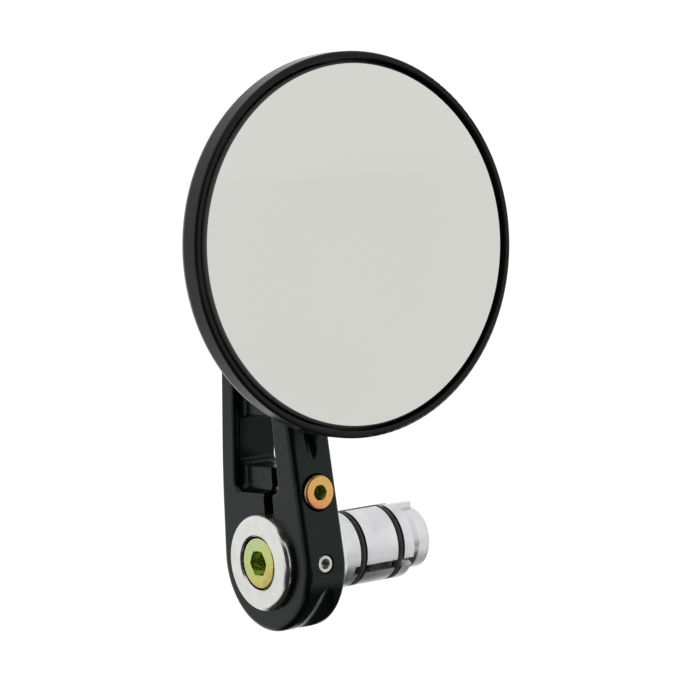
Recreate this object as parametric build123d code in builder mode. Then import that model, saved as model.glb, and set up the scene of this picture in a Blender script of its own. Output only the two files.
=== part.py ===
from build123d import *
from math import cos, radians, sin, sqrt, tan
import os

# Bar-end mirror, in millimetres.  Origin: centre of the hub's seat against the bar end.
# +X runs inboard along the bar, -Y faces the rider, +Z runs up the arm.

CLEAR = 0.05            # radial clearance of a turning fit
THREAD_CLEAR = 0.05     # radial clearance of a screw in its thread
FREE = 0.2              # radial room round a shank that is not threaded there
BREAK = 0.2             # small chamfer that takes off a sharp edge
LEAD = 0.6              # chamfer at the end of a thread
RUNOUT = 0.6            # a tapped hole goes on this far past its screw
DRILL_POINT = 1.2
HEX_MOUTH = 0.1         # conical mouth of a key socket
OUTSIDE_Y = -20.0       # where cuts into the arm's rear edge start, clear of it

# Hub and expander, all about the X axis
HUB_R = 10.15
HUB_OUTER_X = -16.0     # polished outboard face; the seat is at x = 0
HUB_EDGE = 1.35
ANCHOR_HEAD_R = 5.35
ANCHOR_HEAD_X = -15.75
ANCHOR_HEAD_H = 6.0
ANCHOR_HEAD_EDGE = 0.45
ANCHOR_R = 3.0          # M6
ANCHOR_HEX = 5.0
ANCHOR_HEX_DEPTH = 3.6
ANCHOR_END_X = 26.8
ANCHOR_POCKET_R = 5.65
ANCHOR_POCKET_LIP = 0.35
WASHER_R = 5.45
WASHER_T = 0.95
GROOVE_W = 3.2          # groove in the hub for the set screw's tip
GROOVE_DEPTH = 1.1

COLLET_R = 8.0          # slides into the bar
COLLET_L = 20.0
COLLET_BORE_R = 4.2
TAPER_X = 10.0          # where the collet's tapered bore starts
TAPER = 0.22            # radial growth per millimetre
SLOT_COUNT = 3
SLOT_W = 2.0
SLOT_X = 4.0
RING_R = 0.9            # section of the two collet rings
RING_X = (6.0, 16.0)
CONE_TRAVEL = 1.5       # axial draw before the cone meets the taper
CONE_X = 12.0
CONE_FULL_X = 22.0
CONE_END_X = 25.0
CONE_GAP = 0.06
KEY_W = 1.8
KEY_H = 4.4
KEY_MID_R = 5.4
KEY_INSET = 3.0

# Arm
ARM_X = -14.0           # outboard face
ARM_T = 10.0
BOSS_R = 14.65
ARM_TAPER = 6.3         # degrees, each side
ARM_TOP_Z = 69.0
BLANK_TAPER = 3.2       # the blank is fuller on the +Y side, where a flat then trims its rounded edge
OUTBOARD_EDGE = 1.35
INBOARD_EDGE = 0.8
SCALLOP_X = -8.2
SCALLOP_MID = -127.0    # degrees round the bar's axis from +Y: the boss's lower rear
SCALLOP_DEPTH = 0.9
SCALLOP_R = 5.0         # section of the cutter
SCALLOP_OFFSET = 9.4    # the cutter swings about an axis this far beyond the bar's axis
POCKET_DEPTH = 2.45
POCKET_CORNERS = ((8.73, 14.5), (5.1, 56.0), (-3.9, 56.0), (-6.1, 14.5))
POCKET_CORNER_R = 2.0
POCKET_FLOOR_R = 1.5    # concave fillet round the floor
POCKET_MOUTH_R = 0.85   # convex fillet round the mouth
WINDOW_OUTBOARD = ((8.29, 19.5), (7.33, 30.5), (-5.26, 30.5), (-5.84, 19.5))
WINDOW_INBOARD = ((7.95, 19.5), (6.5, 30.5), (-5.26, 30.5), (-5.84, 19.5))
WINDOW_CORNER_R = 1.7
SLIT_Y = (-4.28, -1.15)
SLIT_Z = (5.0, 21.5)    # from inside the bore up into the window
SCOOP_R = 1.65
SCOOP_X = -8.8
SCOOP_Z = (22.0, 28.5, 46.0)   # pointed end, full depth, upper end
SCOOP_SINK = 0.5

# Clamp screws, both along Y on the arm's rear edge
PINCH_X = -9.0
PINCH_Z = 14.7
PINCH_FACE_Y = -14.1
PINCH_HEAD_R = 3.6
PINCH_HEAD_H = 4.0
PINCH_HEAD_EDGE = 0.5
PINCH_R = 2.0           # M4
PINCH_HEX = 3.0
PINCH_HEX_DEPTH = 2.4
PINCH_POCKET_R = 3.95
PINCH_END_Y = 8.0
SET_X = -9.2
SET_R = 2.0             # M4
SET_FACE_Y = -14.4
SET_BODY_Y = -10.6      # where the steel screw ends and its nylon tip starts
SET_TIP_Y = -9.35
SET_LEAD = 0.3
SET_HEX = 2.0
SET_HEX_DEPTH = 1.6
SET_PEG_R = 1.0         # the tip's peg, pressed into the screw
SET_PEG_L = 0.9
SET_TIP_R = 1.25

# Ball joint and mirror head
BALL = (-9.0, -20.2, 65.6)
BALL_R = 5.0
NECK_R = 2.25
STUD_R = 2.5            # M5
STUD_END_Y = 3.2
NECK_START = 4.0        # inside the ball
NECK_END_Y = -11.6
SPOT_FACE_Y = -6.9
SPOT_FACE_R = 4.6
STUD_WASHER_R = 4.2
STUD_WASHER_T = 1.0
LOCKNUT_H = 2.7
LOCKNUT_AF = 8.0
LOCKNUT_CROWN = 0.3
LOCKNUT_BEVEL_R = LOCKNUT_AF / 2 + 0.25
HEAD_YAW = 2.3          # the head rests turned slightly outboard on its ball
LINER_IN_R = BALL_R + CLEAR
LINER_OUT_R = 6.2
LINER_REAR = (-3.0, -0.15)      # heights of the two shells along the head's axis
LINER_FRONT = (0.15, 5.6)
SEAT_R = LINER_OUT_R + CLEAR
SEAT_LOW = 20           # degrees below the ball's middle where the seat ends
CUP_R = 7.2
CUP_Z = (0.4, 6.6)
CUP_HOLE_R = 2.0
CAVITY_R = 7.25
SPRING_R = 6.9
SPRING_HOLE_R = 3.6
SPRING_T = 0.4
RIM_R = 38.6
RIM_FRONT = 13.0        # heights along the head's own axis, from the ball centre
RIM_EDGE = 0.6
RIM_SIDE = 4.0          # depth of the rim's straight side
RIM_BACK = (35.2, 6.2)
FLARE_TOP = (17.0, 5.2)
FLARE_MID = (11.6, 3.2)
NECK_TOP = (9.4, -1.0)
NECK_LOW = (8.4, -6.0)
NECK_LIP = ((7.9, -6.6), (5.6, -6.6), (4.63, -4.2))
FLOOR = 9.25            # floor of the glass pocket
CAP_SEAT = 7.25
CAP_TOP = 9.2
CAP_R = 11.4
CAP_HOLE_R = 2.0
GLASS_R = 36.5
GLASS_BACK = 10.05
GLASS_FRONT = 12.6
GLASS_EDGE = 0.35
PAD_R = 34.0
PAD_HOLE_R = 13.0
POCKET_R = 37.2
SCREW_PCR = 9.35        # pitch radius of the cap screws
SCREW_COUNT = 3
SCREW_R = 1.0
SCREW_L = 4.3
SCREW_HEAD_R = 1.8
SCREW_HEAD_H = 0.75
SCREW_HEX = 1.3
SCREW_HEX_DEPTH = 0.9
SCREW_TOP = CAP_TOP - 0.05

yaw = radians(HEAD_YAW)
facing = (-sin(yaw), -cos(yaw), 0)
sideways = (cos(yaw), -sin(yaw), 0)
head_plane = Plane(origin=BALL, x_dir=sideways, z_dir=facing)
head_section = Plane(origin=BALL, x_dir=sideways, z_dir=(0, 0, -1))
head_axis = Axis(BALL, facing)


def arm_half_width(z):
    """Distance from the arm's centre plane to its tapered edge at height z."""
    return BOSS_R / cos(radians(ARM_TAPER)) - z * tan(radians(ARM_TAPER))


def y_section(x, z):
    """Plane through a Y-parallel axis: local x is Y, local y is the radius."""
    return Plane(origin=(x, 0, z), x_dir=(0, 1, 0), z_dir=(1, 0, 0))


def turned(plane, axis, points, mode=Mode.ADD):
    """Revolve a closed outline given in the plane's own coordinates."""
    with BuildSketch(plane) as outline:
        with BuildLine():
            Polyline(*points, close=True)
        make_face()
    revolve(outline.sketch, axis=axis, mode=mode)


def hex_socket(plane, across_flats, depth):
    """Sink a hexagon key socket with a conical mouth and floor into the face at this plane."""
    with BuildSketch(plane) as key:
        RegularPolygon(across_flats / 2, 6, major_radius=False)
    extrude(key.sketch, amount=-depth, mode=Mode.SUBTRACT)
    with BuildSketch(plane.offset(-depth)) as drilled:
        Circle(across_flats / 2 - THREAD_CLEAR)
    extrude(drilled.sketch, amount=-across_flats / 4, taper=59, mode=Mode.SUBTRACT)
    with BuildSketch(plane) as lead_in:
        Circle(across_flats / 2 + HEX_MOUTH)
    extrude(lead_in.sketch, amount=-HEX_MOUTH, taper=45, mode=Mode.SUBTRACT)


# ---------------------------------------------------------------- hub and expander

with BuildPart() as hub:
    turned(Plane.XZ, Axis.X, (
        (HUB_OUTER_X, 0),
        (HUB_OUTER_X, HUB_R),
        (0, HUB_R),
        (0, 0),
    ))
    outer_rim = hub.edges().filter_by(GeomType.CIRCLE).group_by(Axis.X)[0]
    fillet(outer_rim, HUB_EDGE)
    seat_rim = hub.edges().filter_by(GeomType.CIRCLE).group_by(Axis.X)[-1]
    chamfer(seat_rim, BREAK)
    pocket_floor = ANCHOR_HEAD_X + ANCHOR_HEAD_H + WASHER_T + CLEAR
    turned(Plane.XZ, Axis.X, (
        (HUB_OUTER_X - 1, 0),
        (HUB_OUTER_X - 1, ANCHOR_POCKET_R + ANCHOR_POCKET_LIP + 1),
        (HUB_OUTER_X + ANCHOR_POCKET_LIP, ANCHOR_POCKET_R),
        (pocket_floor, ANCHOR_POCKET_R),
        (pocket_floor, ANCHOR_R + FREE),
        (1, ANCHOR_R + FREE),
        (1, 0),
    ), mode=Mode.SUBTRACT)
    turned(Plane.XZ, Axis.X, (
        (SET_X - GROOVE_W / 2, HUB_R + 1),
        (SET_X - GROOVE_W / 2, HUB_R - GROOVE_DEPTH),
        (SET_X + GROOVE_W / 2, HUB_R - GROOVE_DEPTH),
        (SET_X + GROOVE_W / 2, HUB_R + 1),
    ), mode=Mode.SUBTRACT)

with BuildPart() as anchor_washer:
    washer_x = ANCHOR_HEAD_X + ANCHOR_HEAD_H + CLEAR
    turned(Plane.XZ, Axis.X, (
        (washer_x, ANCHOR_R + FREE),
        (washer_x, WASHER_R - BREAK),
        (washer_x + BREAK, WASHER_R),
        (washer_x + WASHER_T, WASHER_R),
        (washer_x + WASHER_T, ANCHOR_R + FREE),
    ))

with BuildPart() as anchor_bolt:
    head_end = ANCHOR_HEAD_X + ANCHOR_HEAD_H
    turned(Plane.XZ, Axis.X, (
        (ANCHOR_HEAD_X, 0),
        (ANCHOR_HEAD_X, ANCHOR_HEAD_R),
        (head_end - BREAK, ANCHOR_HEAD_R),
        (head_end, ANCHOR_HEAD_R - BREAK),
        (head_end, ANCHOR_R),
        (ANCHOR_END_X - LEAD, ANCHOR_R),
        (ANCHOR_END_X, ANCHOR_R - LEAD),
        (ANCHOR_END_X, 0),
    ))
    fillet(anchor_bolt.edges().filter_by(GeomType.CIRCLE).group_by(Axis.X)[0], ANCHOR_HEAD_EDGE)
    hex_socket(Plane(origin=(ANCHOR_HEAD_X, 0, 0), x_dir=(0, 1, 0), z_dir=(-1, 0, 0)),
               ANCHOR_HEX, ANCHOR_HEX_DEPTH)

with BuildPart() as expander_collet:
    turned(Plane.XZ, Axis.X, (
        (0, COLLET_BORE_R),
        (0, COLLET_R),
        (COLLET_L - LEAD, COLLET_R),
        (COLLET_L, COLLET_R - LEAD),
        (COLLET_L, COLLET_BORE_R + TAPER * (COLLET_L - TAPER_X)),
        (TAPER_X, COLLET_BORE_R),
    ))
    for ring_x in RING_X:
        with BuildSketch(Plane.XZ):
            with Locations((ring_x, COLLET_R - RING_R)):
                Circle(RING_R)
            with Locations((ring_x, COLLET_R)):
                Rectangle(2 * RING_R, 2 * RING_R)
        revolve(axis=Axis.X, mode=Mode.SUBTRACT)
    with BuildSketch(Plane.YZ.offset(SLOT_X)):
        with PolarLocations(COLLET_R / 2 + 1, SLOT_COUNT, start_angle=90):
            Rectangle(COLLET_R + 2, SLOT_W)
    extrude(amount=COLLET_L, mode=Mode.SUBTRACT)

with BuildPart() as collet_rings:
    for ring_x in RING_X:
        with BuildSketch(Plane.XZ):
            with Locations((ring_x, COLLET_R - RING_R)):
                Circle(RING_R)
        revolve(axis=Axis.X)

with BuildPart() as cone_nut:
    cone_r = COLLET_BORE_R + TAPER * (CONE_X - CONE_TRAVEL - TAPER_X) - CONE_GAP
    full_r = cone_r + TAPER * (CONE_FULL_X - CONE_X)
    turned(Plane.XZ, Axis.X, (
        (CONE_X, 0),
        (CONE_X, cone_r),
        (CONE_FULL_X, full_r),
        (CONE_END_X - BREAK, full_r),
        (CONE_END_X, full_r - BREAK),
        (CONE_END_X, 0),
    ))
    with BuildSketch(Plane.YZ.offset(CONE_X + KEY_INSET)):
        with Locations((0, KEY_MID_R)):
            Rectangle(KEY_W, KEY_H)
    extrude(amount=CONE_END_X - CONE_X - KEY_INSET - BREAK)
    with BuildSketch(Plane.YZ.offset(CONE_X - 1)):
        Circle(ANCHOR_R + THREAD_CLEAR)
    extrude(amount=CONE_END_X - CONE_X + 2, mode=Mode.SUBTRACT)

# ---------------------------------------------------------------- arm

taper = radians(ARM_TAPER)
blank_taper = radians(BLANK_TAPER)

with BuildPart() as pocket_tool:
    with BuildSketch(Plane.YZ.offset(ARM_X)):
        with BuildLine():
            Polyline(*POCKET_CORNERS, close=True)
        make_face()
        fillet(vertices(), POCKET_CORNER_R)
    extrude(amount=POCKET_DEPTH)
    fillet(pocket_tool.edges().group_by(Axis.X)[-1], POCKET_FLOOR_R)

with BuildPart() as arm:
    # the top circle touches both tapered sides of the blank
    gap_low = BOSS_R / cos(taper) + BOSS_R / cos(blank_taper)
    gap_top = gap_low - ARM_TOP_Z * (tan(taper) + tan(blank_taper))
    top_r = gap_top / (1 / cos(taper) + 1 / cos(blank_taper))
    top_y = top_r / cos(taper) - arm_half_width(ARM_TOP_Z)
    rear_low = (-BOSS_R * cos(taper), BOSS_R * sin(taper))
    rear_high = (top_y - top_r * cos(taper), ARM_TOP_Z + top_r * sin(taper))
    front_low = (BOSS_R * cos(blank_taper), BOSS_R * sin(blank_taper))
    front_high = (top_y + top_r * cos(blank_taper), ARM_TOP_Z + top_r * sin(blank_taper))
    with BuildSketch(Plane.YZ.offset(ARM_X)):
        with BuildLine():
            Line(front_low, front_high)
            ThreePointArc(front_high, (top_y, ARM_TOP_Z + top_r), rear_high)
            Line(rear_high, rear_low)
            ThreePointArc(rear_low, (0, -BOSS_R), front_low)
        make_face()
    extrude(amount=ARM_T)
    fillet(arm.edges().group_by(Axis.X)[0], OUTBOARD_EDGE)
    fillet(arm.edges().group_by(Axis.X)[-1], INBOARD_EDGE)

    # flat along the +Y side: it starts at the boss and takes the rounded edge off as it climbs
    flat_low = (BOSS_R * cos(taper), BOSS_R * sin(taper))
    above = 90
    beside = 30
    with BuildSketch(Plane.YZ.offset(ARM_X - 1)):
        with BuildLine():
            Polyline(flat_low, (arm_half_width(above), above), (beside, above), (beside, flat_low[1]),
                     close=True)
        make_face()
    extrude(amount=ARM_T + 2, mode=Mode.SUBTRACT)

    # shallow scallop across the lower rear of the boss, fading out at both ends
    mid = radians(SCALLOP_MID)
    start = radians(SCALLOP_MID - 45)
    swing_centre = (SCALLOP_X, -SCALLOP_OFFSET * cos(mid), -SCALLOP_OFFSET * sin(mid))
    swing_r = SCALLOP_OFFSET + BOSS_R - SCALLOP_DEPTH + SCALLOP_R
    with BuildSketch(Plane(origin=swing_centre, x_dir=(0, cos(start), sin(start)),
                           z_dir=(0, -sin(start), cos(start)))):
        with Locations((swing_r, 0)):
            Circle(SCALLOP_R)
    revolve(axis=Axis(swing_centre, (1, 0, 0)), revolution_arc=90, mode=Mode.SUBTRACT)

    # recessed web between the two rails, with the window through it
    add(pocket_tool.part, mode=Mode.SUBTRACT)
    outboard_face = arm.faces().filter_by(GeomType.PLANE).sort_by(Axis.X)[0]
    fillet(outboard_face.inner_wires()[0].edges(), POCKET_MOUTH_R)
    for face_x, corners in ((ARM_X, WINDOW_OUTBOARD), (ARM_X + ARM_T, WINDOW_INBOARD)):
        with BuildSketch(Plane.YZ.offset(face_x)):
            with BuildLine():
                Polyline(*corners, close=True)
            make_face()
            fillet(vertices(), WINDOW_CORNER_R)
    loft(mode=Mode.SUBTRACT)

    # clamp bore, and the slit that lets the two ears close
    with BuildSketch(Plane.YZ.offset(ARM_X)):
        Circle(HUB_R + CLEAR)
    extrude(amount=ARM_T, mode=Mode.SUBTRACT)
    with BuildSketch(Plane.YZ.offset(ARM_X)):
        with BuildLine():
            Polyline((SLIT_Y[0], SLIT_Z[0]), (SLIT_Y[1], SLIT_Z[0]), (SLIT_Y[1], SLIT_Z[1]),
                     (SLIT_Y[0], SLIT_Z[1]), close=True)
        make_face()
    extrude(amount=ARM_T, mode=Mode.SUBTRACT)

    # pinch screw: counterbore in the rear ear, thread in the front ear
    pinch_axis = Axis((PINCH_X, 0, PINCH_Z), (0, 1, 0))
    turned(y_section(PINCH_X, PINCH_Z), pinch_axis, (
        (OUTSIDE_Y, 0),
        (OUTSIDE_Y, PINCH_POCKET_R),
        (PINCH_FACE_Y + PINCH_HEAD_H + CLEAR, PINCH_POCKET_R),
        (PINCH_FACE_Y + PINCH_HEAD_H + CLEAR, PINCH_R + FREE),
        (SLIT_Y[1], PINCH_R + FREE),
        (SLIT_Y[1], PINCH_R + THREAD_CLEAR),
        (PINCH_END_Y + RUNOUT, PINCH_R + THREAD_CLEAR),
        (PINCH_END_Y + RUNOUT + DRILL_POINT, 0),
    ), mode=Mode.SUBTRACT)

    # set screw: tapped radially into the bore
    set_axis = Axis((SET_X, 0, 0), (0, 1, 0))
    turned(y_section(SET_X, 0), set_axis, (
        (OUTSIDE_Y, 0),
        (OUTSIDE_Y, SET_R + THREAD_CLEAR),
        (0, SET_R + THREAD_CLEAR),
        (0, 0),
    ), mode=Mode.SUBTRACT)

    # ball stud: flat seat on the rear edge and a blind tapped hole
    stud_axis = Axis((BALL[0], 0, BALL[2]), (0, 1, 0))
    turned(y_section(BALL[0], BALL[2]), stud_axis, (
        (OUTSIDE_Y, 0),
        (OUTSIDE_Y, SPOT_FACE_R),
        (SPOT_FACE_Y, SPOT_FACE_R),
        (SPOT_FACE_Y, STUD_R + THREAD_CLEAR),
        (STUD_END_Y + RUNOUT, STUD_R + THREAD_CLEAR),
        (STUD_END_Y + RUNOUT + DRILL_POINT, 0),
    ), mode=Mode.SUBTRACT)

    # scoop milled down the rear edge, running out to a point
    scoop_low = (SCOOP_X, -arm_half_width(SCOOP_Z[0]) - SCOOP_R, SCOOP_Z[0])
    scoop_turn = (SCOOP_X, -arm_half_width(SCOOP_Z[1]) + SCOOP_SINK, SCOOP_Z[1])
    scoop_high = (SCOOP_X, -arm_half_width(SCOOP_Z[2]) + SCOOP_SINK, SCOOP_Z[2])
    for start, end in ((scoop_low, scoop_turn), (scoop_turn, scoop_high)):
        run = Vector(*end) - Vector(*start)
        with BuildSketch(Plane(origin=start, z_dir=run)):
            Circle(SCOOP_R)
        extrude(amount=run.length, mode=Mode.SUBTRACT)
    with Locations(scoop_turn, scoop_high):
        Sphere(SCOOP_R, mode=Mode.SUBTRACT)

with BuildPart() as pinch_screw:
    turned(y_section(PINCH_X, PINCH_Z), pinch_axis, (
        (PINCH_FACE_Y, 0),
        (PINCH_FACE_Y, PINCH_HEAD_R),
        (PINCH_FACE_Y + PINCH_HEAD_H, PINCH_HEAD_R),
        (PINCH_FACE_Y + PINCH_HEAD_H, PINCH_R),
        (PINCH_END_Y - LEAD, PINCH_R),
        (PINCH_END_Y, PINCH_R - LEAD),
        (PINCH_END_Y, 0),
    ))
    fillet(pinch_screw.edges().filter_by(GeomType.CIRCLE).group_by(Axis.Y)[0], PINCH_HEAD_EDGE)
    hex_socket(Plane(origin=(PINCH_X, PINCH_FACE_Y, PINCH_Z), x_dir=(1, 0, 0), z_dir=(0, -1, 0)),
               PINCH_HEX, PINCH_HEX_DEPTH)

with BuildPart() as set_screw:
    turned(y_section(SET_X, 0), set_axis, (
        (SET_FACE_Y, 0),
        (SET_FACE_Y, SET_R - SET_LEAD),
        (SET_FACE_Y + SET_LEAD, SET_R),
        (SET_BODY_Y - SET_LEAD, SET_R),
        (SET_BODY_Y, SET_R - SET_LEAD),
        (SET_BODY_Y, SET_PEG_R),
        (SET_BODY_Y - SET_PEG_L, SET_PEG_R),
        (SET_BODY_Y - SET_PEG_L, 0),
    ))
    hex_socket(Plane(origin=(SET_X, SET_FACE_Y, 0), x_dir=(1, 0, 0), z_dir=(0, -1, 0)),
               SET_HEX, SET_HEX_DEPTH)

with BuildPart() as set_screw_tip:
    turned(y_section(SET_X, 0), set_axis, (
        (SET_BODY_Y - SET_PEG_L, 0),
        (SET_BODY_Y - SET_PEG_L, SET_PEG_R),
        (SET_BODY_Y, SET_PEG_R),
        (SET_BODY_Y, SET_TIP_R),
        (SET_TIP_Y - BREAK, SET_TIP_R),
        (SET_TIP_Y, SET_TIP_R - BREAK),
        (SET_TIP_Y, 0),
    ))

# ---------------------------------------------------------------- ball joint

with BuildPart() as ball_stud:
    neck_y = BALL[1] + NECK_START
    turned(y_section(BALL[0], BALL[2]), stud_axis, (
        (neck_y, 0),
        (neck_y, NECK_R),
        (NECK_END_Y, NECK_R),
        (NECK_END_Y + STUD_R - NECK_R, STUD_R),
        (STUD_END_Y - LEAD, STUD_R),
        (STUD_END_Y, STUD_R - LEAD),
        (STUD_END_Y, 0),
    ))
    with Locations(BALL):
        Sphere(BALL_R)

with BuildPart() as stud_washer:
    turned(y_section(BALL[0], BALL[2]), stud_axis, (
        (SPOT_FACE_Y, STUD_R + FREE),
        (SPOT_FACE_Y, STUD_WASHER_R),
        (SPOT_FACE_Y - STUD_WASHER_T + BREAK, STUD_WASHER_R),
        (SPOT_FACE_Y - STUD_WASHER_T, STUD_WASHER_R - BREAK),
        (SPOT_FACE_Y - STUD_WASHER_T, STUD_R + FREE),
    ))

with BuildPart() as stud_locknut:
    nut_y = SPOT_FACE_Y - STUD_WASHER_T
    with BuildSketch(Plane(origin=(BALL[0], nut_y, BALL[2]), x_dir=(1, 0, 0), z_dir=(0, -1, 0))):
        RegularPolygon(LOCKNUT_AF / 2, 6, major_radius=False)
        Circle(STUD_R + THREAD_CLEAR, mode=Mode.SUBTRACT)
    extrude(amount=LOCKNUT_H)
    corner_r = LOCKNUT_BEVEL_R + LOCKNUT_CROWN * sqrt(3)
    turned(y_section(BALL[0], BALL[2]), stud_axis, (
        (nut_y, 0),
        (nut_y, LOCKNUT_BEVEL_R),
        (nut_y - LOCKNUT_CROWN, corner_r),
        (nut_y - LOCKNUT_H + LOCKNUT_CROWN, corner_r),
        (nut_y - LOCKNUT_H, LOCKNUT_BEVEL_R),
        (nut_y - LOCKNUT_H, 0),
    ), mode=Mode.INTERSECT)


def liner_shell(low, high):
    """Part of the acetal shell between two heights along the head's axis."""
    with BuildSketch(head_section) as wall:
        Circle(LINER_OUT_R)
        Circle(LINER_IN_R, mode=Mode.SUBTRACT)
        with Locations((LINER_OUT_R / 2, (low + high) / 2)):
            Rectangle(LINER_OUT_R, high - low, mode=Mode.INTERSECT)
    revolve(wall.sketch, axis=head_axis)


with BuildPart() as socket_liner_rear:
    liner_shell(*LINER_REAR)

with BuildPart() as socket_liner_front:
    liner_shell(*LINER_FRONT)

with BuildPart() as pressure_cup:
    with BuildSketch(head_section):
        with Locations((CUP_R / 2, (CUP_Z[0] + CUP_Z[1]) / 2)):
            Rectangle(CUP_R, CUP_Z[1] - CUP_Z[0])
        Circle(SEAT_R, mode=Mode.SUBTRACT)
        with Locations((0, CUP_Z[1])):
            Rectangle(2 * CUP_HOLE_R, 2 * CUP_HOLE_R, mode=Mode.SUBTRACT)
    revolve(axis=head_axis)

with BuildPart() as disc_spring:
    turned(head_section, head_axis, (
        (SPRING_HOLE_R, CAP_SEAT - SPRING_T),
        (SPRING_R, CUP_Z[1]),
        (SPRING_R, CUP_Z[1] + SPRING_T),
        (SPRING_HOLE_R, CAP_SEAT),
    ))

# ---------------------------------------------------------------- mirror head

with BuildPart() as mirror_housing:
    with BuildSketch(head_section):
        with BuildLine():
            rim_mid = RIM_EDGE * (1 - sqrt(0.5))
            Polyline((POCKET_R, RIM_FRONT - BREAK), (POCKET_R + BREAK, RIM_FRONT),
                     (RIM_R - RIM_EDGE, RIM_FRONT))
            ThreePointArc((RIM_R - RIM_EDGE, RIM_FRONT), (RIM_R - rim_mid, RIM_FRONT - rim_mid),
                          (RIM_R, RIM_FRONT - RIM_EDGE))
            Line((RIM_R, RIM_FRONT - RIM_EDGE), (RIM_R, RIM_FRONT - RIM_SIDE))
            ThreePointArc((RIM_R, RIM_FRONT - RIM_SIDE), (RIM_R - 1.0, RIM_BACK[1] + 0.8), RIM_BACK)
            Line(RIM_BACK, FLARE_TOP)
            ThreePointArc(FLARE_TOP, FLARE_MID, NECK_TOP)
            Polyline(NECK_TOP, NECK_LOW, *NECK_LIP)
            seat_angle = radians(SEAT_LOW)
            ThreePointArc(NECK_LIP[-1], (SEAT_R * cos(seat_angle), -SEAT_R * sin(seat_angle)), (SEAT_R, 0))
            Polyline((SEAT_R, 0), (CAVITY_R, 0), (CAVITY_R, CAP_SEAT), (CAP_R + CLEAR, CAP_SEAT),
                     (CAP_R + CLEAR, FLOOR), (POCKET_R, FLOOR), (POCKET_R, RIM_FRONT - BREAK))
        make_face()
    revolve(axis=head_axis)
    with BuildSketch(head_plane.offset(CAP_SEAT)):
        with PolarLocations(SCREW_PCR, SCREW_COUNT, start_angle=90):
            Circle(SCREW_R)
    extrude(amount=-SCREW_L, mode=Mode.SUBTRACT)

with BuildPart() as socket_cap:
    turned(head_section, head_axis, (
        (CAP_HOLE_R, CAP_SEAT),
        (CAP_R, CAP_SEAT),
        (CAP_R, CAP_TOP - BREAK),
        (CAP_R - BREAK, CAP_TOP),
        (CAP_HOLE_R, CAP_TOP),
    ))
    with BuildSketch(head_plane.offset(CAP_SEAT)):
        with PolarLocations(SCREW_PCR, SCREW_COUNT, start_angle=90):
            Circle(SCREW_R + 2 * THREAD_CLEAR)
    extrude(amount=CAP_TOP - CAP_SEAT, mode=Mode.SUBTRACT)
    with BuildSketch(head_plane.offset(CAP_TOP)):
        with PolarLocations(SCREW_PCR, SCREW_COUNT, start_angle=90):
            Circle(SCREW_HEAD_R + 2 * THREAD_CLEAR)
    extrude(amount=-SCREW_HEAD_H - THREAD_CLEAR, taper=45, mode=Mode.SUBTRACT)

with BuildPart() as cap_screws:
    with BuildSketch(head_plane.offset(SCREW_TOP)):
        with PolarLocations(SCREW_PCR, SCREW_COUNT, start_angle=90):
            Circle(SCREW_R)
    extrude(amount=-SCREW_L)
    with BuildSketch(head_plane.offset(SCREW_TOP)):
        with PolarLocations(SCREW_PCR, SCREW_COUNT, start_angle=90):
            Circle(SCREW_HEAD_R)
    extrude(amount=-SCREW_HEAD_H, taper=45)
    with BuildSketch(head_plane.offset(SCREW_TOP)):
        with PolarLocations(SCREW_PCR, SCREW_COUNT, start_angle=90):
            RegularPolygon(SCREW_HEX / 2, 6, major_radius=False)
    extrude(amount=-SCREW_HEX_DEPTH, mode=Mode.SUBTRACT)

with BuildPart() as glass_pad:
    with BuildSketch(head_plane.offset(FLOOR)):
        Circle(PAD_R)
        Circle(PAD_HOLE_R, mode=Mode.SUBTRACT)
    extrude(amount=GLASS_BACK - FLOOR)

with BuildPart() as mirror_glass:
    turned(head_section, head_axis, (
        (0, GLASS_BACK),
        (GLASS_R - BREAK, GLASS_BACK),
        (GLASS_R, GLASS_BACK + BREAK),
        (GLASS_R, GLASS_FRONT - GLASS_EDGE),
        (GLASS_R - GLASS_EDGE, GLASS_FRONT),
        (0, GLASS_FRONT),
    ))

pieces = {
    "hub": hub,
    "anchor_washer": anchor_washer,
    "anchor_bolt": anchor_bolt,
    "expander_collet": expander_collet,
    "collet_rings": collet_rings,
    "cone_nut": cone_nut,
    "arm": arm,
    "pinch_screw": pinch_screw,
    "set_screw": set_screw,
    "set_screw_tip": set_screw_tip,
    "ball_stud": ball_stud,
    "stud_washer": stud_washer,
    "stud_locknut": stud_locknut,
    "socket_liner_rear": socket_liner_rear,
    "socket_liner_front": socket_liner_front,
    "pressure_cup": pressure_cup,
    "disc_spring": disc_spring,
    "mirror_housing": mirror_housing,
    "socket_cap": socket_cap,
    "cap_screws": cap_screws,
    "glass_pad": glass_pad,
    "mirror_glass": mirror_glass,
}
os.makedirs("parts", exist_ok=True)
for name, piece in pieces.items():
    piece.part.label = name
    export_step(piece.part, f"parts/{name}.step")
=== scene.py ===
from math import cos, radians, sin

import bpy
from mathutils import Matrix, Vector


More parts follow.
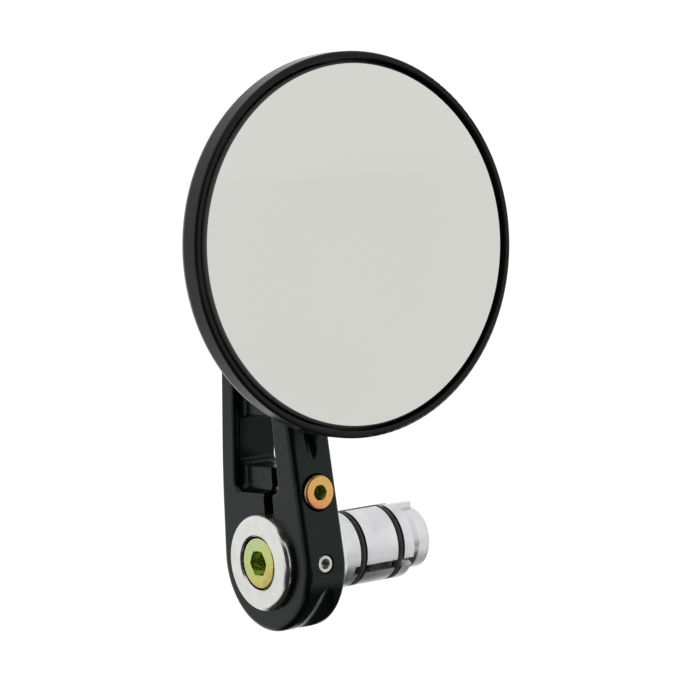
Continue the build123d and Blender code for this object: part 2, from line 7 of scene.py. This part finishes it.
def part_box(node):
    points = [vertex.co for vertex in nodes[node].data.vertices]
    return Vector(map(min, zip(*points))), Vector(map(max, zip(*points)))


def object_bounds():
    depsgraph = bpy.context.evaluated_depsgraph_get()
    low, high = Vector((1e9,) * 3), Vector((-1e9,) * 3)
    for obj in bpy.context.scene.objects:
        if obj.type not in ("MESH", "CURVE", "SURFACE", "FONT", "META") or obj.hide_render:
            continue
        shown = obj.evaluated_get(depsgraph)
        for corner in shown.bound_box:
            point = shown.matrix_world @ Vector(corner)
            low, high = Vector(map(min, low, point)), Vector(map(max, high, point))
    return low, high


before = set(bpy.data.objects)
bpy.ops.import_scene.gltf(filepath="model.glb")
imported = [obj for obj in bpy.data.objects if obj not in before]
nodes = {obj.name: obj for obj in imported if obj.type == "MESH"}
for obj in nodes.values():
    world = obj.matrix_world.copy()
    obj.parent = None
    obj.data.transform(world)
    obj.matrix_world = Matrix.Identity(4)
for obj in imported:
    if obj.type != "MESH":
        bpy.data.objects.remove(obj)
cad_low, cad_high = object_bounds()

# Bar-end mirror: materials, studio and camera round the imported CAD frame.  Lengths are in metres.

MM = 0.001
X_AXIS = (1, 0, 0)
Y_AXIS = (0, 1, 0)
NOISE_LOW = 0.3     # nearly all the values of a noise texture lie between these two
NOISE_HIGH = 0.7
scene = bpy.context.scene


# ------------------------------------------------------------------ material tools

class Finish:
    """A material with its Principled shader and short calls that wire procedural detail into it."""

    def __init__(self, name, colour, metallic, roughness, specular=0.5):
        self.material = bpy.data.materials.new(name)
        self.material.use_nodes = True
        self.tree = self.material.node_tree
        self.shader = self.tree.nodes["Principled BSDF"]
        self.shader.inputs["Base Color"].default_value = (*colour, 1)
        self.shader.inputs["Metallic"].default_value = metallic
        self.shader.inputs["Roughness"].default_value = roughness
        self.shader.inputs["Specular IOR Level"].default_value = specular
        self.coords = self.tree.nodes.new("ShaderNodeTexCoord").outputs["Object"]
        self.normal = None

    def link(self, output, socket):
        self.tree.links.new(output, socket)

    def math(self, operation, first, second):
        """A Math node's result on two values, each a number or a node's output."""
        node = self.tree.nodes.new("ShaderNodeMath")
        node.operation = operation
        for socket, value in zip(node.inputs, (first, second)):
            if isinstance(value, (int, float)):
                socket.default_value = value
            else:
                self.link(value, socket)
        return node.outputs[0]

    def vector(self, operation, linked, constant=(0, 0, 0)):
        """A Vector Math node's outputs, from a node's output and a constant vector."""
        node = self.tree.nodes.new("ShaderNodeVectorMath")
        node.operation = operation
        self.link(linked, node.inputs[0])
        node.inputs[1].default_value = constant
        return node.outputs

    def noise(self, size, detail=2.0, stretch=(1, 1, 1)):
        """Noise whose features are about this size, drawn out along an axis by stretch."""
        mapping = self.tree.nodes.new("ShaderNodeMapping")
        mapping.inputs["Scale"].default_value = tuple(1 / (size * s) for s in stretch)
        texture = self.tree.nodes.new("ShaderNodeTexNoise")
        texture.inputs["Scale"].default_value = 1.0
        texture.inputs["Detail"].default_value = detail
        self.link(self.coords, mapping.inputs["Vector"])
        self.link(mapping.outputs["Vector"], texture.inputs["Vector"])
        return texture.outputs["Fac"]

    def radius(self, centre, axis):
        """Distance from a line through centre along a unit axis."""
        offset = self.vector("SUBTRACT", self.coords, centre)["Vector"]
        across = self.vector("CROSS_PRODUCT", offset, axis)["Vector"]
        return self.vector("LENGTH", across)["Value"]

    def along(self, centre, direction, span):
        """A value that grows by 1 over this span along a unit direction, 0.5 at the centre."""
        offset = self.vector("SUBTRACT", self.coords, centre)["Vector"]
        distance = self.vector("DOT_PRODUCT", offset, direction)["Value"]
        return self.math("ADD", self.math("DIVIDE", distance, span), 0.5)

    def rings(self, centre, axis, pitch):
        """Turning marks: noise that varies only with the distance from a line."""
        texture = self.tree.nodes.new("ShaderNodeTexNoise")
        texture.noise_dimensions = "1D"
        texture.inputs["Scale"].default_value = 1.0
        texture.inputs["Detail"].default_value = 3.0
        self.link(self.math("MULTIPLY", self.radius(centre, axis), 1 / pitch), texture.inputs["W"])
        return texture.outputs["Fac"]

    def spread(self, value, low, high):
        """Stretch a noise value over low..high."""
        node = self.tree.nodes.new("ShaderNodeMapRange")
        node.inputs["From Min"].default_value = NOISE_LOW
        node.inputs["From Max"].default_value = NOISE_HIGH
        node.inputs["To Min"].default_value = low
        node.inputs["To Max"].default_value = high
        self.link(value, node.inputs["Value"])
        return node.outputs["Result"]

    def roughness(self, value, low, high):
        """Roughness that wanders over low..high with a noise value."""
        self.link(self.spread(value, low, high), self.shader.inputs["Roughness"])

    def colour(self, value, stops):
        """Base colour from a value through a ramp of (position, rgb) stops."""
        ramp = self.tree.nodes.new("ShaderNodeValToRGB")
        elements = ramp.color_ramp.elements
        while len(elements) < len(stops):
            elements.new(0.5)
        for element, (position, rgb) in zip(elements, stops):
            element.position = position
            element.color = (*rgb, 1)
        self.link(value, ramp.inputs["Fac"])
        self.link(ramp.outputs["Color"], self.shader.inputs["Base Color"])

    def mottle(self, value, dark, light):
        """Base colour that wanders between two shades with a noise value."""
        self.colour(value, ((NOISE_LOW, dark), (NOISE_HIGH, light)))

    def tint(self, mask, rgb):
        """Swap the base colour for rgb where the mask is 1."""
        base = self.shader.inputs["Base Color"]
        mix = self.tree.nodes.new("ShaderNodeMix")
        mix.data_type = "RGBA"
        self.link(mask, mix.inputs["Factor"])
        self.link(base.links[0].from_socket, mix.inputs["A"])
        mix.inputs["B"].default_value = (*rgb, 1)
        self.link(mix.outputs["Result"], base)

    def bump(self, value, height, strength):
        """Add relief of this height on top of any relief already there."""
        node = self.tree.nodes.new("ShaderNodeBump")
        node.inputs["Strength"].default_value = strength
        node.inputs["Distance"].default_value = height
        self.link(value, node.inputs["Height"])
        if self.normal is not None:
            self.link(self.normal, node.inputs["Normal"])
        self.normal = node.outputs["Normal"]
        self.link(self.normal, self.shader.inputs["Normal"])


def dress(finish, *names):
    """Make the finish the only material of these CAD nodes."""
    for name in names:
        materials = nodes[name].data.materials
        materials.clear()
        materials.append(finish.material)


def low_face(name, axis):
    """Centre of the face at the low end of a node's box, along axis 0, 1 or 2."""
    low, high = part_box(name)
    centre = (low + high) / 2
    centre[axis] = low[axis]
    return centre


# ------------------------------------------------------------------ anodised and machined finishes

BALL_R = 5 * MM
ball_centre = low_face("ball_stud", 1) + Vector((0, BALL_R, 0))


def black_anodised():
    """Milled and anodised arm: a very dark green-grey with a fine satin tooth."""
    finish = Finish("black_anodised", (0.001, 0.002, 0.002), metallic=0.0, roughness=0.24, specular=0.22)
    finish.shader.inputs["Specular Tint"].default_value = (0.82, 1.0, 0.96, 1)
    cloud = finish.noise(9 * MM, detail=3)
    finish.mottle(cloud, dark=(0.0008, 0.0016, 0.0014), light=(0.0018, 0.0030, 0.0028))
    finish.roughness(finish.noise(0.8 * MM, detail=4), 0.20, 0.30)
    finish.bump(finish.noise(0.16 * MM, detail=3), height=0.002 * MM, strength=0.4)
    finish.bump(finish.noise(0.5 * MM, detail=2, stretch=(1, 1, 14)), height=0.0015 * MM, strength=0.4)
    return finish


def gloss_black():
    """Turned and anodised mirror body, glossier than the arm, with faint turning rings."""
    finish = Finish("gloss_black", (0.003, 0.003, 0.0032), metallic=0.0, roughness=0.16, specular=0.14)
    cloud = finish.noise(12 * MM, detail=3)
    finish.mottle(cloud, dark=(0.0025, 0.0025, 0.0026), light=(0.0045, 0.0045, 0.0048))
    finish.roughness(finish.noise(1.2 * MM, detail=3), 0.12, 0.22)
    finish.bump(finish.rings(ball_centre, Y_AXIS, 0.25 * MM), height=0.0015 * MM, strength=0.4)
    finish.bump(finish.noise(0.2 * MM, detail=2), height=0.0015 * MM, strength=0.4)
    return finish


def polished_aluminium():
    """Hub: polished, with concentric turning marks and a few soft smears."""
    finish = Finish("polished_aluminium", (0.65, 0.65, 0.62), metallic=1.0, roughness=0.22)
    rings = finish.rings((0, 0, 0), X_AXIS, 0.10 * MM)
    finish.mottle(finish.noise(2.5 * MM, detail=4), dark=(0.60, 0.60, 0.575), light=(0.69, 0.69, 0.66))
    finish.roughness(rings, 0.17, 0.30)
    finish.bump(rings, height=0.0025 * MM, strength=0.6)
    finish.bump(finish.noise(1.6 * MM, detail=2), height=0.004 * MM, strength=0.5)
    return finish


def turned_aluminium():
    """Plain machined aluminium of the expander and the ball socket's inner parts."""
    finish = Finish("turned_aluminium", (0.62, 0.62, 0.63), metallic=1.0, roughness=0.34)
    marks = finish.noise(0.14 * MM, detail=2, stretch=(1, 60, 60))
    finish.mottle(finish.noise(5 * MM, detail=3), dark=(0.56, 0.56, 0.57), light=(0.68, 0.68, 0.69))
    finish.roughness(marks, 0.26, 0.42)
    finish.bump(marks, height=0.005 * MM, strength=0.6)
    return finish


def stainless():
    """Set screw, washers, cap screws, ball stud and its nut: bright cold-formed steel."""
    finish = Finish("stainless", (0.56, 0.54, 0.51), metallic=1.0, roughness=0.28)
    finish.mottle(finish.noise(1.5 * MM, detail=4), dark=(0.48, 0.46, 0.43), light=(0.62, 0.60, 0.57))
    finish.roughness(finish.noise(0.4 * MM, detail=3), 0.22, 0.36)
    finish.bump(finish.noise(0.5 * MM, detail=2, stretch=(1, 6, 1)), height=0.0012 * MM, strength=0.4)
    return finish


def spring_steel():
    """Disc spring: dark heat-treated steel."""
    finish = Finish("spring_steel", (0.20, 0.20, 0.21), metallic=1.0, roughness=0.35)
    finish.mottle(finish.noise(2 * MM, detail=4), dark=(0.15, 0.15, 0.16), light=(0.27, 0.26, 0.27))
    finish.roughness(finish.noise(0.5 * MM, detail=3), 0.28, 0.45)
    finish.bump(finish.noise(0.2 * MM, detail=3), height=0.004 * MM, strength=0.5)
    return finish


# ------------------------------------------------------------------ yellow zinc of the two bolts

# the film's colours across a bolt's head, from one side to the other
GREEN_GOLD = (
    (0.00, (0.40, 0.53, 0.27)),
    (0.35, (0.45, 0.54, 0.22)),
    (0.70, (0.48, 0.49, 0.14)),
    (1.00, (0.46, 0.34, 0.12)),
)
ORANGE_GOLD = (
    (0.00, (0.58, 0.40, 0.12)),
    (0.30, (0.62, 0.37, 0.12)),
    (0.65, (0.64, 0.31, 0.12)),
    (1.00, (0.58, 0.22, 0.12)),
)
COLOUR_WANDER = 0.22    # how far the film's colour strays from its even drift
SOCKET_GREEN = (0.36, 0.44, 0.09)
SOCKET_MOUTH = 0.55     # where the green begins: 0.5 is a bolt's face and 1.5 its socket's end
SOCKET_END = 1.5
SOCKET_DULLNESS = 0.12  # how far the film in a key socket is from bare metal
SOCKET_BURNISH = 0.6    # how much smoother the key has rubbed it


def zinc_plate(name, stops, face, inward, drift, span, socket_r, socket_depth):
    """Yellow zinc plate: its film drifts in colour across the head and turns green down the key socket."""
    finish = Finish(name, stops[0][1], metallic=1.0, roughness=0.24)
    across = finish.along(face, drift, span)
    wander = finish.spread(finish.noise(2.2 * MM, detail=2), -COLOUR_WANDER, COLOUR_WANDER)
    finish.colour(finish.math("ADD", across, wander), stops)

    depth = finish.along(face, inward, socket_depth)
    below_mouth = finish.math("GREATER_THAN", depth, SOCKET_MOUTH)
    above_end = finish.math("LESS_THAN", depth, SOCKET_END)
    inner = finish.math("LESS_THAN", finish.radius(face, inward), socket_r)
    socket = finish.math("MULTIPLY", finish.math("MULTIPLY", below_mouth, above_end), inner)
    finish.tint(socket, SOCKET_GREEN)
    dull = finish.math("MULTIPLY", socket, SOCKET_DULLNESS)
    finish.link(finish.math("SUBTRACT", 1.0, dull), finish.shader.inputs["Metallic"])

    satin = finish.spread(finish.noise(0.6 * MM, detail=3), 0.20, 0.34)
    burnish = finish.math("SUBTRACT", 1.0, finish.math("MULTIPLY", socket, SOCKET_BURNISH))
    finish.link(finish.math("MULTIPLY", satin, burnish), finish.shader.inputs["Roughness"])
    finish.bump(finish.noise(0.5 * MM, detail=2), height=0.002 * MM, strength=0.25)
    return finish


def anchor_zinc():
    """Greenish gold of the main bolt, whose head faces outboard."""
    return zinc_plate(
        "yellow_zinc_anchor",
        GREEN_GOLD,
        face=low_face("anchor_bolt", 0),
        inward=X_AXIS,
        drift=Vector((0, -0.45, -0.89)),
        span=11 * MM,
        socket_r=3 * MM,
        socket_depth=5.2 * MM,
    )


def pinch_zinc():
    """Orange gold of the pinch screw, whose head faces the rider."""
    return zinc_plate(
        "yellow_zinc_pinch",
        ORANGE_GOLD,
        face=low_face("pinch_screw", 1),
        inward=Y_AXIS,
        drift=Vector((-0.6, 0, -0.8)),
        span=9 * MM,
        socket_r=2 * MM,
        socket_depth=3.4 * MM,
    )


# ------------------------------------------------------------------ plastic, rubber, tape and glass

def black_rubber():
    """Collet rings: matt rubber with a fine grain."""
    finish = Finish("black_rubber", (0.012, 0.012, 0.012), metallic=0.0, roughness=0.6, specular=0.4)
    finish.mottle(finish.noise(1.5 * MM, detail=4), dark=(0.009, 0.009, 0.009), light=(0.022, 0.022, 0.022))
    finish.roughness(finish.noise(0.5 * MM, detail=3), 0.5, 0.75)
    finish.bump(finish.noise(0.12 * MM, detail=4), height=0.01 * MM, strength=0.6)
    return finish


def acetal():
    """Moulded natural acetal, slightly translucent."""
    finish = Finish("acetal", (0.78, 0.77, 0.72), metallic=0.0, roughness=0.4)
    finish.shader.inputs["Subsurface Weight"].default_value = 0.15
    finish.shader.inputs["Subsurface Radius"].default_value = (0.6 * MM, 0.6 * MM, 0.5 * MM)
    finish.mottle(finish.noise(3 * MM, detail=3), dark=(0.74, 0.73, 0.68), light=(0.82, 0.81, 0.77))
    finish.roughness(finish.noise(0.5 * MM, detail=3), 0.34, 0.5)
    finish.bump(finish.noise(0.3 * MM, detail=3), height=0.004 * MM, strength=0.5)
    return finish


def foam_tape():
    """Adhesive pad behind the glass: open-celled black foam."""
    finish = Finish("foam_tape", (0.05, 0.05, 0.05), metallic=0.0, roughness=0.85, specular=0.3)
    cells = finish.noise(0.25 * MM, detail=3)
    finish.mottle(cells, dark=(0.02, 0.02, 0.02), light=(0.07, 0.07, 0.07))
    finish.roughness(cells, 0.75, 0.95)
    finish.bump(cells, height=0.05 * MM, strength=0.8)
    return finish


GROUND_WIDTH = 0.4 * MM     # the glass's ground edge, seen from the front
GROUND_GREY = (0.03, 0.03, 0.03)
GROUND_ROUGHNESS = 0.7
glass_low, glass_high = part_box("mirror_glass")
ground_r = (glass_high.x - glass_low.x) / 2 - GROUND_WIDTH


def silvered_glass():
    """Mirror glass: silver seen through clean glass with a barely visible wave, its edge ground dull. The
    silver is painted a darker grey than a real mirror's, as painted shade for dimmer surroundings in its
    reflection.
    """
    # painted shade: the silver is set well below a real mirror's brightness, so the white studio it reflects
    # reads as a dimmer grey
    finish = Finish("silvered_glass", (0.60, 0.60, 0.57), metallic=1.0, roughness=0.03)
    cloud = finish.noise(60 * MM, detail=1)
    finish.mottle(cloud, dark=(0.592, 0.592, 0.562), light=(0.608, 0.608, 0.578))
    # the head rests turned on its ball, so a ring round the stud's line is half a millimetre off the glass's
    ground = finish.math("GREATER_THAN", finish.radius(ball_centre, Y_AXIS), ground_r)
    finish.tint(ground, GROUND_GREY)
    finish.link(finish.math("SUBTRACT", 1.0, ground), finish.shader.inputs["Metallic"])
    clean = finish.spread(finish.noise(25 * MM, detail=2), 0.02, 0.05)
    frosted = finish.math("MULTIPLY", ground, GROUND_ROUGHNESS)
    finish.link(finish.math("MAXIMUM", clean, frosted), finish.shader.inputs["Roughness"])
    finish.bump(finish.noise(40 * MM, detail=1), height=0.02 * MM, strength=0.3)
    return finish


# ------------------------------------------------------------------ which piece wears what

dress(black_anodised(), "arm")
dress(gloss_black(), "mirror_housing")
dress(polished_aluminium(), "hub")
dress(turned_aluminium(), "expander_collet", "cone_nut", "pressure_cup", "socket_cap")
dress(anchor_zinc(), "anchor_bolt")
dress(pinch_zinc(), "pinch_screw")
dress(stainless(), "anchor_washer", "set_screw", "ball_stud", "stud_washer", "stud_locknut", "cap_screws")
dress(spring_steel(), "disc_spring")
dress(black_rubber(), "collet_rings")
dress(acetal(), "set_screw_tip", "socket_liner_rear", "socket_liner_front")
dress(foam_tape(), "glass_pad")
dress(silvered_glass(), "mirror_glass")


# ------------------------------------------------------------------ studio

CAMERA_AZIMUTH = 37.43  # degrees from +Y towards +X
FLOOR_DROP = 0.12       # the mirror hangs on a bar, so the floor is well below it
FLOOR_SIZE = 12.0
STUDIO_WHITE = 1.12
CARD_LIFT = 0.01        # how far the black cards lie above the floor
FLAG_SPOT = Vector((-0.80, -1.04, 0.42))
FLAG_SIZE = (2.0, 1.2)
FOOT_SPOT = (-0.41, -0.54)
FOOT_SIZE = (0.9, 1.1)
UNDER_SPOT = (-0.01, -0.01)
UNDER_SIZE = (0.26, 0.26)
floor_z = cad_low.z - FLOOR_DROP


def plain_material(name, grey, roughness):
    """A stage material of one grey."""
    material = bpy.data.materials.new(name)
    material.use_nodes = True
    shader = material.node_tree.nodes["Principled BSDF"]
    shader.inputs["Base Color"].default_value = (grey, grey, grey, 1)
    shader.inputs["Roughness"].default_value = roughness
    return material


def card(name, size, matrix, material):
    """A flat stage card of this width and height, placed by a matrix."""
    width, height = size
    mesh = bpy.data.meshes.new(name)
    corners = [(x * width / 2, y * height / 2, 0) for x, y in ((-1, -1), (1, -1), (1, 1), (-1, 1))]
    mesh.from_pydata(corners, [], [(0, 1, 2, 3)])
    mesh.materials.append(material)
    made = bpy.data.objects.new(name, mesh)
    scene.collection.objects.link(made)
    made.matrix_world = matrix
    return made


def lying(spot):
    """Matrix that lays a card just above the floor at an (x, y) spot."""
    return Matrix.Translation((*spot, floor_z + CARD_LIFT))


def facing(spot, target):
    """Matrix that stands a card at spot with its -Z side towards target."""
    turn = (target - spot).to_track_quat("-Z", "Y")
    return Matrix.Translation(spot) @ turn.to_matrix().to_4x4()


def white_world():
    """An even white world, the studio's only light."""
    world = bpy.data.worlds.new("studio")
    world.use_nodes = True
    background = world.node_tree.nodes["Background"]
    background.inputs["Color"].default_value = (1, 1, 1, 1)
    background.inputs["Strength"].default_value = STUDIO_WHITE
    return world


def black_cards():
    """Black cards seen only in reflections: behind the camera, on the floor towards it, under the boss."""
    black = plain_material("black_card", 0.01, roughness=1.0)
    level_target = Vector((0, 0, FLAG_SPOT.z))
    camera_turn = Matrix.Rotation(-radians(CAMERA_AZIMUTH), 4, "Z")
    made = (
        card("flag", FLAG_SIZE, facing(FLAG_SPOT, level_target), black),
        card("foot_flag", FOOT_SIZE, lying(FOOT_SPOT) @ camera_turn, black),
        card("under_flag", UNDER_SIZE, lying(UNDER_SPOT), black),
    )
    for black_card in made:
        black_card.visible_camera = False
        black_card.visible_diffuse = False
        black_card.visible_shadow = False


scene.view_settings.view_transform = "Standard"
scene.world = white_world()
floor_paint = plain_material("floor", 0.97, roughness=0.9)
card("floor", (FLOOR_SIZE, FLOOR_SIZE), Matrix.Translation((0, 0, floor_z)), floor_paint)
black_cards()


# ------------------------------------------------------------------ camera

CAMERA_SPOT = Vector((-0.4277, -0.5716, 0.1008))
CAMERA_DIP = 4.52       # degrees below level
CAMERA_ROLL = 4.07      # degrees
CAMERA_LENS = 181.2     # millimetres
CAMERA_SENSOR = 36      # millimetres
CLIP_NEAR = 0.01
CLIP_FAR = 50


def photo_camera():
    """Camera at the photographed angle: it looks inboard and forward, a little down, slightly rolled."""
    azimuth = radians(CAMERA_AZIMUTH)
    dip = radians(CAMERA_DIP)
    roll = radians(CAMERA_ROLL)
    ahead = Vector((sin(azimuth) * cos(dip), cos(azimuth) * cos(dip), -sin(dip)))
    right = Vector((cos(azimuth), -sin(azimuth), 0))
    up = right.cross(ahead)
    rolled_right = cos(roll) * right - sin(roll) * up
    rolled_up = sin(roll) * right + cos(roll) * up
    data = bpy.data.cameras.new("camera")
    data.lens = CAMERA_LENS
    data.sensor_width = CAMERA_SENSOR
    data.clip_start = CLIP_NEAR
    data.clip_end = CLIP_FAR
    camera = bpy.data.objects.new("camera", data)
    scene.collection.objects.link(camera)
    turn = Matrix((rolled_right, rolled_up, -ahead)).transposed()
    camera.matrix_world = Matrix.Translation(CAMERA_SPOT) @ turn.to_4x4()
    scene.camera = camera


photo_camera()
